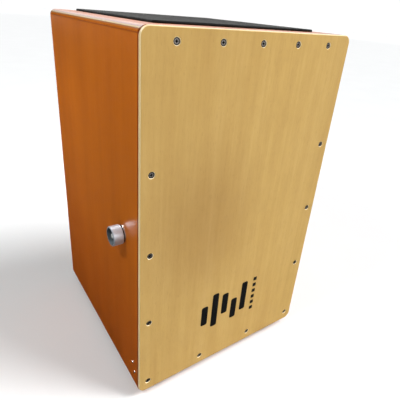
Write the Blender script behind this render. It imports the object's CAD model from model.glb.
import bpy
import bmesh
import math
import numpy as np
from mathutils import Matrix, Vector, noise as mnoise


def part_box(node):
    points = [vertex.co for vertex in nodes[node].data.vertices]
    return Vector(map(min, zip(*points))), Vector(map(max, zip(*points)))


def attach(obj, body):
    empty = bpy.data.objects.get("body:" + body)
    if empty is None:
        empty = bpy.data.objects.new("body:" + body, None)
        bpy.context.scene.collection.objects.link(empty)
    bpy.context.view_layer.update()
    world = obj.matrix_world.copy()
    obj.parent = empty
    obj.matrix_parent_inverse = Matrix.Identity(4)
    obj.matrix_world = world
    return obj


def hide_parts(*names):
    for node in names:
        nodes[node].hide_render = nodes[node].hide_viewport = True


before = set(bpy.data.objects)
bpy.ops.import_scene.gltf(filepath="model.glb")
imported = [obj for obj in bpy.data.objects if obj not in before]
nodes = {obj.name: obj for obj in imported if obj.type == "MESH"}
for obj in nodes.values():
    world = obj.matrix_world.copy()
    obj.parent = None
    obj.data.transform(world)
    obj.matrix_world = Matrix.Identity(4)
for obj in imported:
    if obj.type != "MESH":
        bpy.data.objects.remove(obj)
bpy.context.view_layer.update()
scene = bpy.context.scene
scene.view_settings.view_transform = "Standard"
scene.view_settings.look = "None"
scene.view_settings.exposure = 0.0
scene.view_settings.gamma = 1.0


# ------------------------------------------------------------------ node helpers
def lin(r, g, b, k=1.0):
    """an 8-bit display colour as linear light, scaled by k"""
    out = []
    for c in (r, g, b):
        c = c / 255.0
        c = c / 12.92 if c <= 0.04045 else ((c + 0.055) / 1.055) ** 2.4
        out.append(min(1.0, c * k))
    return (out[0], out[1], out[2], 1.0)


class Mat:
    """A material and short calls for its nodes. Lengths in the node graph are millimetres of the row frame."""

    def __init__(self, name, rough=0.5, metal=0.0, spec=0.5, coat=0.0, coat_rough=0.1, ior=1.5, sheen=0.0, sheen_rough=0.5):
        old = bpy.data.materials.get(name)
        if old:
            old.name = "import_" + name
        self.m = bpy.data.materials.new(name)
        self.m.use_nodes = True
        self.t = self.m.node_tree
        self.t.nodes.clear()
        self.o = self.node("ShaderNodeOutputMaterial")
        self.b = self.node("ShaderNodeBsdfPrincipled")
        self.link(self.b.outputs["BSDF"], self.o.inputs["Surface"])
        self.b.inputs["Roughness"].default_value = rough
        self.b.inputs["Metallic"].default_value = metal
        self.b.inputs["Specular IOR Level"].default_value = spec
        self.b.inputs["Coat Weight"].default_value = coat
        self.b.inputs["Coat Roughness"].default_value = coat_rough
        self.b.inputs["IOR"].default_value = ior
        self.b.inputs["Sheen Weight"].default_value = sheen
        self.b.inputs["Sheen Roughness"].default_value = sheen_rough
        tc = self.node("ShaderNodeTexCoord")
        self.p = self.vec(tc.outputs["Object"], (1000.0, 1000.0, 1000.0))
        s = self.node("ShaderNodeSeparateXYZ")
        self.link(self.p, s.inputs[0])
        self.x, self.y, self.z = s.outputs
        self.height = None

    def node(self, kind):
        return self.t.nodes.new(kind)

    def link(self, a, b):
        self.t.links.new(a, b)

    def put(self, socket, value):
        if hasattr(value, "is_output"):
            self.link(value, socket)
        else:
            socket.default_value = value

    def vec(self, v, scale, shift=(0.0, 0.0, 0.0)):
        n = self.node("ShaderNodeVectorMath")
        n.operation = "MULTIPLY_ADD"
        self.put(n.inputs[0], v)
        n.inputs[1].default_value = scale
        n.inputs[2].default_value = shift
        return n.outputs[0]

    def math(self, op, a, b=0.0, c=0.0, clamp=False):
        n = self.node("ShaderNodeMath")
        n.operation = op
        n.use_clamp = clamp
        self.put(n.inputs[0], a)
        self.put(n.inputs[1], b)
        self.put(n.inputs[2], c)
        return n.outputs[0]

    def add(self, a, b):
        return self.math("ADD", a, b)

    def sub(self, a, b):
        return self.math("SUBTRACT", a, b)

    def mul(self, a, b):
        return self.math("MULTIPLY", a, b)

    def step(self, v, a, b, lo=0.0, hi=1.0, smooth=True):
        n = self.node("ShaderNodeMapRange")
        n.interpolation_type = "SMOOTHSTEP" if smooth else "LINEAR"
        n.clamp = True
        self.put(n.inputs["Value"], v)
        n.inputs["From Min"].default_value = a
        n.inputs["From Max"].default_value = b
        n.inputs["To Min"].default_value = lo
        n.inputs["To Max"].default_value = hi
        return n.outputs["Result"]

    def mix(self, f, a, b, blend="MIX"):
        n = self.node("ShaderNodeMix")
        n.data_type = "RGBA"
        n.blend_type = blend
        self.put(n.inputs["Factor"], f)
        self.put(n.inputs[6], a)
        self.put(n.inputs[7], b)
        return n.outputs[2]

    def noise(self, v, scale=1.0, detail=3.0, rough=0.55, distortion=0.0):
        n = self.node("ShaderNodeTexNoise")
        n.inputs["Scale"].default_value = scale
        n.inputs["Detail"].default_value = detail
        n.inputs["Roughness"].default_value = rough
        n.inputs["Distortion"].default_value = distortion
        self.link(v, n.inputs["Vector"])
        return n.outputs[0]

    def cells(self, v, scale=1.0, feature="F1", rand=1.0):
        n = self.node("ShaderNodeTexVoronoi")
        n.feature = feature
        n.inputs["Scale"].default_value = scale
        n.inputs["Randomness"].default_value = rand
        self.link(v, n.inputs["Vector"])
        return n.outputs["Distance"]

    def wave(self, v, scale=1.0, direction="X", distortion=0.0, detail=2.0):
        n = self.node("ShaderNodeTexWave")
        n.wave_type = "BANDS"
        n.bands_direction = direction
        n.inputs["Scale"].default_value = scale
        n.inputs["Distortion"].default_value = distortion
        n.inputs["Detail"].default_value = detail
        self.link(v, n.inputs["Vector"])
        return n.outputs["Fac"]

    def ramp(self, f, stops, interp="LINEAR"):
        n = self.node("ShaderNodeValToRGB")
        n.color_ramp.interpolation = interp
        e = n.color_ramp.elements
        while len(e) > 1:
            e.remove(e[-1])
        e[0].position, e[0].color = stops[0]
        for pos, col in stops[1:]:
            k = e.new(pos)
            k.color = col
        self.put(n.inputs["Fac"], f)
        return n.outputs["Color"]

    def bump(self, height, depth_mm, strength=1.0):
        """adds a bump of that depth on top of what is there"""
        n = self.node("ShaderNodeBump")
        n.inputs["Strength"].default_value = strength
        n.inputs["Distance"].default_value = depth_mm / 1000.0
        self.put(n.inputs["Height"], height)
        if self.height is not None:
            self.link(self.height, n.inputs["Normal"])
        self.height = n.outputs["Normal"]
        return self.height

    def done(self, colour=None, rough=None):
        if colour is not None:
            self.put(self.b.inputs["Base Color"], colour)
        if rough is not None:
            self.put(self.b.inputs["Roughness"], rough)
        if self.height is not None:
            self.link(self.height, self.b.inputs["Normal"])
            if self.b.inputs["Coat Weight"].default_value > 0:
                self.link(self.height, self.b.inputs["Coat Normal"])
        return self.m


def along(axis, across, length):
    """texture scale for fibres: one cycle per 'across' mm over the grain and per 'length' mm along it"""
    s = [1.0 / across] * 3
    s[axis] = 1.0 / length
    return tuple(s)


# ------------------------------------------------------------------ wood
def grain(g, axis, seed=0.0, bands=22.0, streaks=4.0, fibres=0.55, wobble=3.0):
    """broad bands, streaks, fibres and short flecks, each 0..1, for fibres along that axis"""
    sh = (seed * 17.3, seed * -9.1, seed * 5.7)
    warp_n = g.node("ShaderNodeTexNoise")
    warp_n.inputs["Scale"].default_value = 1.0
    warp_n.inputs["Detail"].default_value = 1.0
    g.link(g.vec(g.p, along(axis, 60.0, 260.0), sh), warp_n.inputs["Vector"])
    shift = g.node("ShaderNodeVectorMath")
    shift.operation = "MULTIPLY_ADD"
    g.link(warp_n.outputs["Color"], shift.inputs[0])
    w = [wobble] * 3
    w[axis] = 0.0
    shift.inputs[1].default_value = w
    g.link(g.p, shift.inputs[2])
    p = shift.outputs[0]
    a = g.noise(g.vec(p, along(axis, bands, bands * 13.0), sh), 1.0, 2.0, 0.5)
    b = g.noise(g.vec(p, along(axis, streaks, streaks * 28.0), sh), 1.0, 3.0, 0.55)
    c = g.noise(g.vec(p, along(axis, fibres, fibres * 34.0), sh), 1.0, 2.0, 0.6)
    d = g.noise(g.vec(p, along(axis, 0.75, 6.5), (sh[1], sh[2], sh[0])), 1.0, 0.0, 0.5)
    return a, b, c, g.step(d, 0.63, 0.78)


def veneer(g, axis, tones, seed=0.0, band=0.5, streak=0.5, fibre=0.25, fleck=0.35, **kw):
    """tones: dark, mid and light colours; returns the face colour and the fine relief"""
    a, b, c, d = grain(g, axis, seed, **kw)
    f = g.add(g.mul(g.sub(a, 0.5), band * 2.0), g.mul(g.sub(b, 0.5), streak * 2.0))
    f = g.add(f, g.mul(g.sub(c, 0.5), fibre * 2.0))
    f = g.add(f, 0.5)
    col = g.ramp(f, [(0.0, tones[0]), (0.5, tones[1]), (1.0, tones[2])])
    dark = g.mix(1.0, col, (0.62, 0.56, 0.50, 1.0), "MULTIPLY")
    col = g.mix(g.mul(d, fleck), col, dark)
    relief = g.sub(g.mul(c, 0.7), g.mul(d, 0.6))
    return col, relief


def ply_edge(g, d, thick, n, tones, glue, seed=0.0, half=0.10):
    """layers seen on a cut edge of plywood; d is the depth below the outer face in mm"""
    t = thick / n
    stops = [(0.0, tones[0])]
    for i in range(1, n):
        b = i * t / thick
        w = half / thick
        stops += [(b - w, tones[(i - 1) % 2]), (b, glue), (b + w, tones[i % 2])]
    stops.append((1.0, tones[(n - 1) % 2]))
    col = g.ramp(g.mul(d, 1.0 / thick), stops)
    wear = g.noise(g.vec(g.p, (0.8, 0.8, 0.8), (seed, seed, seed)), 1.0, 4.0, 0.65)
    col = g.mix(g.step(wear, 0.35, 0.75, 0.0, 0.35), col, g.mix(1.0, col, (0.78, 0.70, 0.62, 1.0), "MULTIPLY"))
    return col


# fibre tones, as light the surface gives back
K_SIDE = 1.30
SIDE = [lin(154, 76, 5, K_SIDE), lin(174, 91, 9, K_SIDE), lin(188, 103, 14, K_SIDE)]
SIDE_PLY = [lin(174, 100, 42), lin(152, 82, 30)]
WORN_PLY = [lin(204, 180, 130), lin(190, 160, 108)]
SIDE_GLUE = lin(96, 38, 10, K_SIDE)
RAW = [lin(214, 184, 132), lin(226, 198, 148), lin(236, 210, 164)]
RAW_PLY = [lin(232, 206, 160), lin(204, 170, 120)]
RAW_GLUE = lin(128, 92, 58)


def stained_ply(name, axis_d, face_mm, sign, fibre_axis, seed, thick=9.0, side=False):
    g = Mat(name, rough=0.34, spec=0.22)
    comp = (g.x, g.y, g.z)[axis_d]
    d = g.mul(g.sub(comp, face_mm), sign)
    face, relief = veneer(g, fibre_axis, SIDE, seed, band=0.40, streak=0.16, fibre=0.10, fleck=0.06, bands=34.0, streaks=6.0)
    blot = g.noise(g.vec(g.p, (0.012, 0.012, 0.012), (seed, 0, 0)), 1.0, 2.0, 0.5)
    face = g.mix(g.step(blot, 0.3, 0.7, 0.0, 0.16), face, g.mix(1.0, face, (0.90, 0.80, 0.72, 1.0), "MULTIPLY"))
    if side:
        # stain a little redder and deeper towards the bottom, and dark lines where it gathers along the edges
        low = g.step(g.z, 40.0, 330.0, 1.0, 0.0)
        rear = g.mul(g.step(g.y, -120.0, 150.0, 0.0, 1.0), g.step(g.z, 470.0, 380.0, 0.25, 1.0))
        face = g.mix(rear, g.mix(1.0, face, (0.76, 0.76, 0.76, 1.0), "MULTIPLY"), face)
        face = g.mix(g.mul(low, 0.7), face, g.mix(1.0, face, (0.84, 0.64, 0.8, 1.0), "MULTIPLY"))
    edge = ply_edge(g, d, thick, 7, SIDE_PLY, SIDE_GLUE, seed, 0.22)
    if side:
        # hands have rubbed the stain thin over the rounded top edge
        worn = ply_edge(g, d, thick, 7, WORN_PLY, SIDE_GLUE, seed, 0.22)
        edge = g.mix(g.mul(g.step(g.z, 491.4, 492.4), g.step(d, 4.6, 7.0, 1.0, 0.15)), edge, worn)
    col = g.mix(g.step(d, 0.10, 0.90), face, edge)
    if name == "seat_ply":
        col = g.mix(1.0, col, (0.56, 0.48, 0.54, 1.0), "MULTIPLY")
    if side:
        upper = g.math("ABSOLUTE", g.sub(g.z, 488.2))
        lower = g.math("ABSOLUTE", g.sub(g.z, 19.3))
        line = g.add(g.step(upper, 0.25, 1.1, 0.62, 0.0), g.step(lower, 0.25, 1.1, 0.45, 0.0))
        joint = g.step(g.y, -149.6, -147.8, 0.92, 0.0)
        line = g.math("ADD", line, joint, clamp=True)
        col = g.mix(line, col, g.mix(1.0, col, (0.42, 0.26, 0.18, 1.0), "MULTIPLY"))
    raw, _ = veneer(g, fibre_axis, RAW, seed + 3.0, band=0.6, streak=0.6, fibre=0.4, fleck=0.4)
    col = g.mix(g.step(d, thick - 0.08, thick - 0.02), col, raw)
    g.bump(relief, 0.045, 0.55)
    swell = g.noise(g.vec(g.p, along(fibre_axis, 9.0, 60.0), (0, 0, seed)), 1.0, 1.0, 0.5)
    g.bump(swell, 0.10, 0.30)
    rough = g.step(g.add(g.mul(blot, 0.6), g.mul(relief, 0.4)), 0.2, 0.8, 0.28, 0.40)
    if side:
        # the lacquer runs thicker and glossier over the rounded top edge
        rough = g.mul(rough, g.step(g.z, 488.0, 491.0, 1.0, 0.55))
    return g.done(col, rough)


mats = {}
mats["side_ply_left"] = stained_ply("side_ply_left", 0, -142.1, 1.0, 2, 1.0, side=True)
mats["side_ply_right"] = stained_ply("side_ply_right", 0, 157.9, -1.0, 2, 2.0, side=True)
mats["seat_ply"] = stained_ply("seat_ply", 2, 495.5, -1.0, 0, 3.0)
mats["bottom_ply"] = stained_ply("bottom_ply", 2, 12.0, 1.0, 0, 4.0)


def front_veneer():
    g = Mat("front_veneer", rough=0.44, spec=0.40, coat=0.0, coat_rough=0.25)
    d = g.sub(g.y, -155.0)
    tones = [lin(188, 148, 78, 0.95), lin(202, 164, 92, 0.95), lin(216, 180, 112, 0.95)]
    face, relief = veneer(g, 2, tones, 7.0, band=0.32, streak=0.24, fibre=0.15, fleck=0.20, bands=20.0, streaks=4.2)
    mottle = g.noise(g.vec(g.p, (0.07, 0.07, 0.035), (1.0, 5.0, 2.0)), 1.0, 3.0, 0.6)
    face = g.mix(g.step(mottle, 0.35, 0.70, 0.0, 0.38), face, g.mix(1.0, face, (0.90, 0.88, 0.84, 1.0), "MULTIPLY"))
    broad = g.noise(g.vec(g.p, (0.010, 0.010, 0.0022), (4.0, 1.0, 2.0)), 1.0, 1.0, 0.5)
    face = g.mix(g.step(broad, 0.35, 0.68, 0.0, 0.30), face, g.mix(1.0, face, (0.90, 0.86, 0.80, 1.0), "MULTIPLY"))
    zone = g.noise(g.vec(g.p, (0.004, 0.004, 0.004), (0.5, 0.2, 0.1)), 1.0, 0.0, 0.5)
    mid = g.node("ShaderNodeVectorMath")
    mid.operation = "LENGTH"
    g.link(g.vec(g.p, (1.0 / 105.0, 0.0, 1.0 / 135.0), (50.0 / 105.0, 0.0, -262.0 / 135.0)), mid.inputs[0])
    face = g.mix(g.step(g.add(mid.outputs["Value"], g.mul(zone, 0.3)), 0.2, 1.25, 1.0, 0.0), face, g.mix(1.0, face, (0.82, 0.77, 0.72, 1.0), "MULTIPLY"))
    across = g.step(g.x, -150.0, 90.0, 0.55, 0.0)
    face = g.mix(across, face, g.mix(1.0, face, (0.82, 0.80, 0.78, 1.0), "MULTIPLY"))
    core = [lin(232, 208, 160, 0.86), lin(214, 184, 130, 0.86)]
    edge = ply_edge(g, d, 3.5, 3, core, lin(170, 128, 76), 7.0)
    col = g.mix(g.step(d, 0.04, 0.40), face, edge)
    inset_x = g.sub(150.0, g.math("ABSOLUTE", g.sub(g.x, 7.9)))
    inset_z = g.sub(241.75, g.math("ABSOLUTE", g.sub(g.z, 253.75)))
    inner = g.step(g.math("MINIMUM", inset_x, inset_z), 4.5, 5.5)
    col = g.mix(g.mul(inner, g.step(d, 0.05, 0.20)), col, g.mix(g.step(mottle, 0.3, 0.7), lin(255, 236, 196), lin(246, 222, 176)))
    bore = g.mul(inner, g.step(d, 0.72, 0.86))
    col = g.mix(g.mul(bore, g.step(d, 3.46, 3.48, 1.0, 0.0)), col, lin(16, 12, 9))
    back, _ = veneer(g, 2, RAW, 9.0, band=0.5, streak=0.6, fibre=0.4, fleck=0.5)
    col = g.mix(g.step(d, 3.45, 3.49), col, back)
    g.bump(relief, 0.05, 0.55)
    rough = g.step(g.add(g.mul(broad, 0.5), g.mul(relief, 0.5)), 0.2, 0.8, 0.38, 0.54)
    return g.done(col, rough)


mats["front_veneer"] = front_veneer()


def plain_wood(name, axis, tones, seed, rough=0.62, **kw):
    g = Mat(name, rough=rough, spec=0.3)
    col, relief = veneer(g, axis, tones, seed, **kw)
    g.bump(relief, 0.10, 0.7)
    r = g.step(relief, 0.1, 0.6, rough + 0.06, rough - 0.06)
    return g.done(col, r)


def back_ply():
    g = Mat("back_ply", rough=0.5, spec=0.3, coat=0.05, coat_rough=0.3)
    d = g.sub(154.0, g.y)
    face, relief = veneer(g, 2, SIDE, 5.5, band=0.55, streak=0.6, fibre=0.35, fleck=0.4, bands=30.0, streaks=5.5)
    edge = ply_edge(g, d, 6.0, 5, [lin(214, 178, 122), lin(180, 136, 84)], lin(96, 60, 30), 5.0)
    col = g.mix(g.step(d, 0.25, 0.9), face, edge)
    raw, _ = veneer(g, 2, RAW, 6.0, band=0.6, streak=0.6, fibre=0.4, fleck=0.4)
    col = g.mix(g.step(d, 5.5, 5.95), col, raw)
    g.bump(relief, 0.06, 0.6)
    return g.done(col, g.step(relief, 0.1, 0.6, 0.52, 0.40))


mats["back_ply"] = back_ply()
PINE = [lin(196, 152, 92), lin(216, 176, 116), lin(230, 196, 140)]
BEECH = [lin(186, 132, 84), lin(204, 152, 102), lin(218, 170, 122)]
mats["batten_wood"] = plain_wood("batten_wood", 2, PINE, 11.0, 0.66, band=0.7, streak=0.6, fibre=0.4, fleck=0.2, bands=9.0, streaks=2.4)
mats["rod_wood"] = plain_wood("rod_wood", 0, BEECH, 12.0, 0.50, band=0.4, streak=0.5, fibre=0.4, fleck=0.8, bands=12.0, streaks=2.2)
mats["block_wood"] = plain_wood("block_wood", 2, PINE, 13.0, 0.64, band=0.7, streak=0.6, fibre=0.4, fleck=0.3, bands=8.0, streaks=2.0)


# ------------------------------------------------------------------ metals
def metal(name, colour, rough, scratch=0.35, brushed=None, grime=0.25, fine=1.0, metallic=1.0, shade=None):
    """brushed: axis the tool marks run round or along; shade: returns how much of the surface is dark, 0..1"""
    g = Mat(name, rough=rough, metal=metallic)
    n = g.noise(g.vec(g.p, (1.6 * fine,) * 3), 1.0, 4.0, 0.6)
    col = g.mix(g.step(n, 0.35, 0.72, 0.0, grime), lin(*colour), g.mix(1.0, lin(*colour), (0.62, 0.60, 0.58, 1.0), "MULTIPLY"))
    s = [0.8 * fine] * 3
    if brushed is not None:
        s = [0.25 * fine] * 3
        s[brushed] = 9.0 * fine
    b = g.noise(g.vec(g.p, tuple(s), (3.0, 1.0, 7.0)), 1.0, 3.0, 0.7)
    if shade is not None:
        amount, tint = shade(g)
        col = g.mix(amount, col, g.mix(1.0, col, tint, "MULTIPLY"))
    g.bump(b, 0.012, scratch)
    return g.done(col, g.step(g.add(g.mul(n, 0.4), g.mul(b, 0.6)), 0.25, 0.75, rough * 0.75, min(1.0, rough * 1.35)))


def screw_shade(g):
    """dark recess in the head"""
    return g.step(g.y, HEAD_Y + 0.10, HEAD_Y + 0.30), (0.03, 0.03, 0.03, 1.0)


def cup_shade(g):
    """dull dark wall inside the cup of the knob"""
    r = g.node("ShaderNodeVectorMath")
    r.operation = "LENGTH"
    g.link(g.vec(g.p, (0.0, 1.0, 1.0), (0.0, 105.7, -251.7)), r.inputs[0])
    return g.step(r.outputs["Value"], 10.65, 11.2, 1.0, 0.0), (0.30, 0.33, 0.32, 1.0)


HEAD_Y = -155.0 + 0.9
mats["plate_screw_steel"] = metal("plate_screw_steel", (152, 148, 146), 0.36, grime=0.9, fine=1.6, shade=screw_shade)
mats["pin_steel"] = metal("pin_steel", (226, 214, 208), 0.22, fine=2.0)
mats["zinc_steel"] = metal("zinc_steel", (196, 196, 190), 0.36)
mats["flange_chrome"] = metal("flange_chrome", (226, 220, 218), 0.16, scratch=0.2, grime=0.15)
mats["knob_aluminium"] = metal("knob_aluminium", (204, 211, 222), 0.42, scratch=1.0, brushed=0, grime=0.40, metallic=0.78, shade=cup_shade)
mats["knob_screw_steel"] = metal("knob_screw_steel", (236, 236, 234), 0.40, fine=2.0, metallic=0.6)
mats["snare_steel"] = metal("snare_steel", (198, 200, 204), 0.26, fine=2.0)
mats["snare_plate"] = metal("snare_plate", (204, 186, 140), 0.34, scratch=0.5, brushed=2)


# ------------------------------------------------------------------ black parts, rubber, nylon
def foam():
    g = Mat("foam_rubber", rough=0.85, spec=0.08)
    cell = g.cells(g.vec(g.p, (1.5, 1.5, 1.5)), 1.0)
    fine = g.noise(g.vec(g.p, (3.5, 3.5, 3.5)), 1.0, 3.0, 0.6)
    lanes = g.noise(g.vec(g.p, (0.03, 0.35, 0.35), (5.0, 0.0, 0.0)), 1.0, 3.0, 0.6)
    tone = g.ramp(g.add(g.mul(lanes, 0.6), g.mul(fine, 0.4)), [(0.3, lin(14, 15, 15)), (0.7, lin(28, 29, 29))])
    g.bump(cell, 0.16, 0.55)
    g.bump(lanes, 0.25, 0.5)
    return g.done(tone, g.step(lanes, 0.35, 0.65, 0.64, 0.90))


def black_plastic(name, tone, rough, cell_mm, depth, spec=0.4):
    g = Mat(name, rough=rough, spec=spec)
    n = g.noise(g.vec(g.p, (1.0 / cell_mm,) * 3), 1.0, 3.0, 0.6)
    big = g.noise(g.vec(g.p, (0.12, 0.12, 0.12)), 1.0, 2.0, 0.5)
    lo, hi = tone
    col = g.ramp(g.add(g.mul(n, 0.5), g.mul(big, 0.5)), [(0.3, lin(*lo)), (0.7, lin(*hi))])
    g.bump(n, depth, 0.6)
    return g.done(col, g.step(big, 0.3, 0.7, rough - 0.07, min(1.0, rough + 0.08)))


mats["foam_rubber"] = foam()
mats["black_print"] = black_plastic("black_print", ((4, 4, 5), (12, 12, 13)), 0.52, 0.6, 0.02, 0.22)
mats["foot_rubber"] = black_plastic("foot_rubber", ((22, 22, 22), (36, 35, 34)), 0.78, 0.5, 0.08, 0.3)
mats["knob_black"] = black_plastic("knob_black", ((5, 5, 6), (12, 12, 13)), 0.55, 0.8, 0.02, 0.2)


def nylon():
    g = Mat("nylon", rough=0.5, spec=0.4)
    n = g.noise(g.vec(g.p, (0.7, 0.7, 0.7)), 1.0, 3.0, 0.6)
    col = g.ramp(n, [(0.3, lin(24, 22, 22)), (0.7, lin(40, 37, 36))])
    g.bump(n, 0.02, 0.5)
    return g.done(col, g.step(n, 0.3, 0.7, 0.42, 0.56))


mats["nylon"] = nylon()

for o in nodes.values():
    for slot_ in o.material_slots:
        old = slot_.material.name.replace("import_", "")
        if old not in mats:
            raise RuntimeError("no material for slot " + old)
        slot_.material = mats[old]


def new_piece(name, verts, faces, mat, smooth=True):
    me = bpy.data.meshes.new(name)
    me.from_pydata(verts, [], faces)
    me.validate()
    me.materials.append(mat)
    if smooth:
        me.polygons.foreach_set("use_smooth", [True] * len(me.polygons))
    me.update()
    ob = bpy.data.objects.new(name, me)
    scene.collection.objects.link(ob)
    return ob


# ------------------------------------------------------------------ seat pad: a thin sheet of foam, glued on
lo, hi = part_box("seat_pad")


def build_pad():
    """closed sheet with soft rounded edges, a slight crown and the small unevenness of a glued foam sheet"""
    cx, cy = (lo.x + hi.x) / 2, (lo.y + hi.y) / 2
    hx, hy = (hi.x - lo.x) / 2, (hi.y - lo.y) / 2
    r = 0.005
    rim = []                                   # outline, counter-clockwise, with its outward direction
    step = 0.003
    for (sx, sy, a0) in ((1, 1, 0.0), (-1, 1, 90.0), (-1, -1, 180.0), (1, -1, 270.0)):
        for k in range(7):
            a = math.radians(a0 + 15.0 * k)
            rim.append((cx + sx * (hx - r) + r * math.cos(a), cy + sy * (hy - r) + r * math.sin(a), math.cos(a), math.sin(a)))
        nx_, ny_ = {(1, 1): (-1, 1), (-1, 1): (-1, -1), (-1, -1): (1, -1), (1, -1): (1, 1)}[(sx, sy)]
        ax, ay = rim[-1][0], rim[-1][1]
        bx = cx + nx_ * (hx - r) + r * math.cos(math.radians(a0 + 90.0))
        by = cy + ny_ * (hy - r) + r * math.sin(math.radians(a0 + 90.0))
        n = int(math.hypot(bx - ax, by - ay) / step)
        for k in range(1, n):
            t = k / n
            rim.append((ax + (bx - ax) * t, ay + (by - ay) * t, math.cos(math.radians(a0 + 90.0)), math.sin(math.radians(a0 + 90.0))))
    top, bot = hi.z, lo.z
    th = top - bot
    # (inset, height as a share of the thickness) going up the side and over the shoulder
    prof = [(0.0004, 0.0), (0.0001, 0.10), (0.0, 0.30), (0.00002, 0.55), (0.00012, 0.74), (0.00038, 0.87), (0.0008, 0.945), (0.0015, 0.972), (0.003, 0.978), (0.006, 0.98)]
    verts, rings = [], []

    def wob(x, y, z):
        return mnoise.noise(Vector((x * 22.0, y * 22.0, z * 40.0))) * 0.00035 + mnoise.noise(Vector((x * 120.0, y * 120.0, 3.0))) * 0.00010

    for inset, h in prof:
        ring = []
        for (x, y, nx, ny) in rim:
            w = wob(x, y, 0.0)
            px, py = x - nx * (inset + 0.0004 + w), y - ny * (inset + 0.0004 + w)
            lift = 0.0 if h == 0.0 else mnoise.noise(Vector((px * 30.0, py * 30.0, 9.0))) * 0.00016 * h
            ring.append(len(verts))
            verts.append((px, py, bot + th * min(h, 1.0) + lift * (1 if h > 0.5 else 0)))
        rings.append(ring)
    faces = []
    n = len(rim)
    for a, b in zip(rings, rings[1:]):
        for i in range(n):
            j = (i + 1) % n
            faces.append((a[i], a[j], b[j], b[i]))
    return verts, faces, rings


verts, faces, rings = build_pad()
bm = bmesh.new()
bv = [bm.verts.new(v) for v in verts]
for f in faces:
    bm.faces.new([bv[i] for i in f])
bm.faces.new([bv[i] for i in reversed(rings[0])])
inner = [bv[i] for i in rings[-1]]
# the top: shrink the outline in steps towards the middle so that the crown has rows of its own
cx, cy = (lo.x + hi.x) / 2, (lo.y + hi.y) / 2
steps = 26
prev = inner
th = hi.z - lo.z
for k in range(1, steps):
    s = 1.0 - k / steps
    row = []
    for v in inner:
        x, y = cx + (v.co.x - cx) * s, cy + (v.co.y - cy) * s
        crown = 0.98 + 0.02 * (1.0 - s) ** 0.5
        dz = mnoise.noise(Vector((x * 16.0, y * 16.0, 4.0))) * 0.00006
        row.append(bm.verts.new((x, y, min(hi.z, lo.z + th * crown + dz))))
    m = len(inner)
    for i in range(m):
        j = (i + 1) % m
        bm.faces.new((prev[i], prev[j], row[j], row[i]))
    prev = row
bm.faces.new(prev)
bmesh.ops.recalc_face_normals(bm, faces=bm.faces)
me = bpy.data.meshes.new("seat_foam_pad")
bm.to_mesh(me)
bm.free()
me.materials.append(mats["foam_rubber"])
me.polygons.foreach_set("use_smooth", [True] * len(me.polygons))
pad = bpy.data.objects.new("seat_foam_pad", me)
scene.collection.objects.link(pad)
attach(pad, "box")
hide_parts("seat_pad")


# ------------------------------------------------------------------ snare wires as wound springs
AX_Y, AX_Z = -0.1057, 0.2517
BETA = math.radians(10.2755)
NV = np.array([0.0, -math.cos(BETA), -math.sin(BETA)])
UV = np.array([0.0, -math.sin(BETA), math.cos(BETA)])


def coils(name, x_mid, node):
    pitch, wire_r, coil_r = 0.00125, 0.00020, 0.00064
    seg, sides = 10, 4
    u0, u1 = -0.0043, 0.1848
    verts, faces = [], []
    xa = np.array([1.0, 0.0, 0.0])
    for i in range(10):
        x = x_mid - 0.018 + i * 0.004
        turns = (u1 - u0 - 2 * wire_r) / pitch
        m = int(turns * seg)
        th = np.linspace(0, turns * 2 * math.pi, m) + i * 0.9
        u = np.linspace(u0 + wire_r, u1 - wire_r, m)
        # the first and last half turn close up against each other
        n0 = 0.01165
        cosn, sinn = np.cos(th), np.sin(th)
        base = np.array([x, AX_Y, AX_Z]) + np.outer(u, UV) + n0 * NV
        rad = np.outer(cosn, xa) + np.outer(sinn, NV)
        centre = base + rad * coil_r
        tang = (np.outer(-sinn, xa) + np.outer(cosn, NV)) * coil_r * 2 * math.pi / pitch + UV
        tang /= np.linalg.norm(tang, axis=1)[:, None]
        side = np.cross(tang, rad)
        start = len(verts)
        for k in range(sides):
            a = 2 * math.pi * (k + 0.5) / sides
            ring = centre + (rad * math.cos(a) + side * math.sin(a)) * wire_r
            if k == 0:
                allv = np.empty((m, sides, 3))
            allv[:, k, :] = ring
        verts.extend(map(tuple, allv.reshape(-1, 3)))
        for j in range(m - 1):
            for k in range(sides):
                k2 = (k + 1) % sides
                a, b = start + j * sides, start + (j + 1) * sides
                faces.append((a + k, a + k2, b + k2, b + k))
        faces.append(tuple(start + k for k in reversed(range(sides))))
        e = start + (m - 1) * sides
        faces.append(tuple(e + k for k in range(sides)))
    ob = new_piece(name, verts, faces, mats["snare_steel"])
    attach(ob, "snare_adjuster")
    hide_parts(node)
    return ob


coils("snare_coils_left", 0.0079 - 0.048, "snare_wires_left")
coils("snare_coils_right", 0.0079 + 0.048, "snare_wires_right")


# ------------------------------------------------------------------ floor
def floor():
    bm = bmesh.new()
    n, size = 24, 40.0
    grid = [[bm.verts.new((-size / 2 + size * i / n, -size / 2 + size * j / n, 0.0)) for j in range(n + 1)] for i in range(n + 1)]
    for i in range(n):
        for j in range(n):
            bm.faces.new((grid[i][j], grid[i + 1][j], grid[i + 1][j + 1], grid[i][j + 1]))
    me = bpy.data.meshes.new("studio_floor")
    bm.to_mesh(me)
    bm.free()
    g = Mat("studio_floor", rough=0.85, spec=0.15)
    n = g.noise(g.vec(g.p, (0.004, 0.004, 0.004)), 1.0, 3.0, 0.5)
    me.materials.append(g.done(g.ramp(n, [(0.3, (0.885, 0.885, 0.890, 1.0)), (0.7, (0.905, 0.905, 0.908, 1.0))])))
    ob = bpy.data.objects.new("studio_floor", me)
    scene.collection.objects.link(ob)
    return ob


floor()


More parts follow.
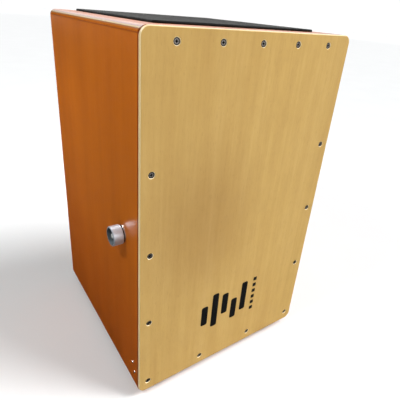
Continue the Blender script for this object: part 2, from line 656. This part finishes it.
def flag():
    """a dark cloth on the floor that only reflections see, as in a studio with a dark floor"""
    me = bpy.data.meshes.new("floor_flag")
    k = 12.0
    me.from_pydata([(-k, -k, 0.0003), (k, -k, 0.0003), (k, k, 0.0003), (-k, k, 0.0003)], [], [(0, 1, 2, 3)])
    g = Mat("floor_flag", rough=0.9, spec=0.0)
    front = g.step(g.y, -900.0, -250.0, 1.0, 0.0)
    me.materials.append(g.done(g.mix(front, (0.02, 0.02, 0.02, 1.0), (0.42, 0.42, 0.42, 1.0))))
    ob = bpy.data.objects.new("floor_flag", me)
    scene.collection.objects.link(ob)
    ob.visible_camera = False
    ob.visible_diffuse = False
    ob.visible_transmission = False
    ob.visible_volume_scatter = False
    ob.visible_shadow = False


flag()

# ------------------------------------------------------------------ light
CEILING = 4.0
world = bpy.data.worlds.new("studio")
scene.world = world
world.use_nodes = True
wt = world.node_tree
wt.nodes.clear()


def wnode(kind, **vals):
    n = wt.nodes.new(kind)
    for k, v in vals.items():
        setattr(n, k, v)
    return n


w_out = wnode("ShaderNodeOutputWorld")
w_path = wnode("ShaderNodeLightPath")
w_tc = wnode("ShaderNodeTexCoord")


def patch(direction, inner_deg, outer_deg, radiance):
    """a soft-edged bright patch of the surroundings"""
    dot = wnode("ShaderNodeVectorMath", operation="DOT_PRODUCT")
    wt.links.new(w_tc.outputs["Generated"], dot.inputs[0])
    dot.inputs[1].default_value = Vector(direction).normalized()
    r = wnode("ShaderNodeMapRange", interpolation_type="SMOOTHSTEP")
    r.inputs["From Min"].default_value = math.cos(math.radians(outer_deg))
    r.inputs["From Max"].default_value = math.cos(math.radians(inner_deg))
    r.inputs["To Min"].default_value = 0.0
    r.inputs["To Max"].default_value = radiance
    wt.links.new(dot.outputs["Value"], r.inputs["Value"])
    return r.outputs["Result"]


def wsum(a, b):
    n = wnode("ShaderNodeMath", operation="ADD")
    wt.links.new(a, n.inputs[0])
    wt.links.new(b, n.inputs[1])
    return n.outputs[0]


def wramp(value, a, b, lo, hi):
    r = wnode("ShaderNodeMapRange", interpolation_type="SMOOTHSTEP")
    r.inputs["From Min"].default_value = a
    r.inputs["From Max"].default_value = b
    r.inputs["To Min"].default_value = lo
    r.inputs["To Max"].default_value = hi
    wt.links.new(value, r.inputs["Value"])
    return r.outputs["Result"]


def wmul(a, b):
    n = wnode("ShaderNodeMath", operation="MULTIPLY")
    wt.links.new(a, n.inputs[0])
    wt.links.new(b, n.inputs[1])
    return n.outputs[0]


w_sep = wnode("ShaderNodeSeparateXYZ")
wt.links.new(w_tc.outputs["Generated"], w_sep.inputs[0])
w_gloss = wnode("ShaderNodeBackground")
w_gloss.inputs["Color"].default_value = (1.0, 0.985, 0.965, 1.0)
ceiling = wmul(wramp(w_sep.outputs["Z"], 0.15, 0.32, 0.0, 1.0), wramp(w_sep.outputs["X"], -0.22, 0.06, 0.0, CEILING))
ceiling = wmul(ceiling, wramp(w_sep.outputs["Z"], 0.44, 0.70, 1.0, 0.22))
glow = wsum(patch((0, 0, 1), 0, 179, 0.03), ceiling)
glow = wsum(glow, patch((0.0, -1.0, 0.25), 20, 85, 0.70))
wt.links.new(glow, w_gloss.inputs["Strength"])
w_lit = wnode("ShaderNodeBackground")
w_lit.inputs["Color"].default_value = (0.94, 1.0, 1.01, 1.0)
w_lit.inputs["Strength"].default_value = 0.22
w_cam = wnode("ShaderNodeBackground")
w_cam.inputs["Color"].default_value = (1.0, 1.0, 1.0, 1.0)
w_cam.inputs["Strength"].default_value = 1.02
w_a = wnode("ShaderNodeMixShader")
w_b = wnode("ShaderNodeMixShader")
wt.links.new(w_path.outputs["Is Glossy Ray"], w_a.inputs[0])
wt.links.new(w_lit.outputs[0], w_a.inputs[1])
wt.links.new(w_gloss.outputs[0], w_a.inputs[2])
wt.links.new(w_path.outputs["Is Camera Ray"], w_b.inputs[0])
wt.links.new(w_a.outputs[0], w_b.inputs[1])
wt.links.new(w_cam.outputs[0], w_b.inputs[2])
wt.links.new(w_b.outputs[0], w_out.inputs[0])


def sun(name, direction, strength, angle_deg, colour=(1.0, 1.0, 1.0)):
    """direction: where the light comes from"""
    d = bpy.data.lights.new(name, "SUN")
    d.energy = strength
    d.angle = math.radians(angle_deg)
    d.color = colour
    o = bpy.data.objects.new(name, d)
    o.rotation_mode = "QUATERNION"
    o.rotation_quaternion = Vector(direction).normalized().to_track_quat("Z", "Y")
    scene.collection.objects.link(o)
    return o


def softbox(name, at, aim, size, energy, colour=(1.0, 1.0, 1.0), size_y=None):
    d = bpy.data.lights.new(name, "AREA")
    d.energy = energy
    d.shape = "RECTANGLE" if size_y else "SQUARE"
    d.size = size
    if size_y:
        d.size_y = size_y
    d.color = colour
    o = bpy.data.objects.new(name, d)
    o.location = at
    o.rotation_mode = "QUATERNION"
    o.rotation_quaternion = (Vector(at) - Vector(aim)).to_track_quat("Z", "Y")
    scene.collection.objects.link(o)
    return o


el = math.radians(46.0)
sun("key", (0.823 * math.cos(el), -0.562 * math.cos(el), math.sin(el)), 3.95, 34.0)
softbox("overhead", (-0.80, -0.12, 1.25), (-0.15, -0.05, 0.25), 0.10, 8.6, (0.97, 1.0, 1.0))
glint = softbox("glint", (-0.51, 0.62, 1.14), (-0.15, -0.10, 0.25), 0.36, 20.0)
glint.visible_diffuse = False

# ------------------------------------------------------------------ camera
R = [[0.823366, -0.562211, 0.077382], [-0.181167, -0.389608, -0.902986], [0.537817, 0.729469, -0.422644]]
cam_data = bpy.data.cameras.new("camera")
cam_data.sensor_fit = "HORIZONTAL"
cam_data.sensor_width = 36.0
cam_data.lens = 374.1986 / 400.0 * 36.0
cam_data.shift_x = (200.0 - 205.605) / 400.0
cam_data.shift_y = (185.282 - 200.0) / 400.0
cam_data.clip_start = 0.01
cam_data.clip_end = 100.0
cam = bpy.data.objects.new("camera", cam_data)
m = Matrix.Identity(4)
for r in range(3):
    m[r][0] = R[0][r]
    m[r][1] = -R[1][r]
    m[r][2] = -R[2][r]
m[0][3], m[1][3], m[2][3] = -0.2966866, -0.4808022, 0.5109100
cam.matrix_world = m
scene.collection.objects.link(cam)
scene.camera = cam
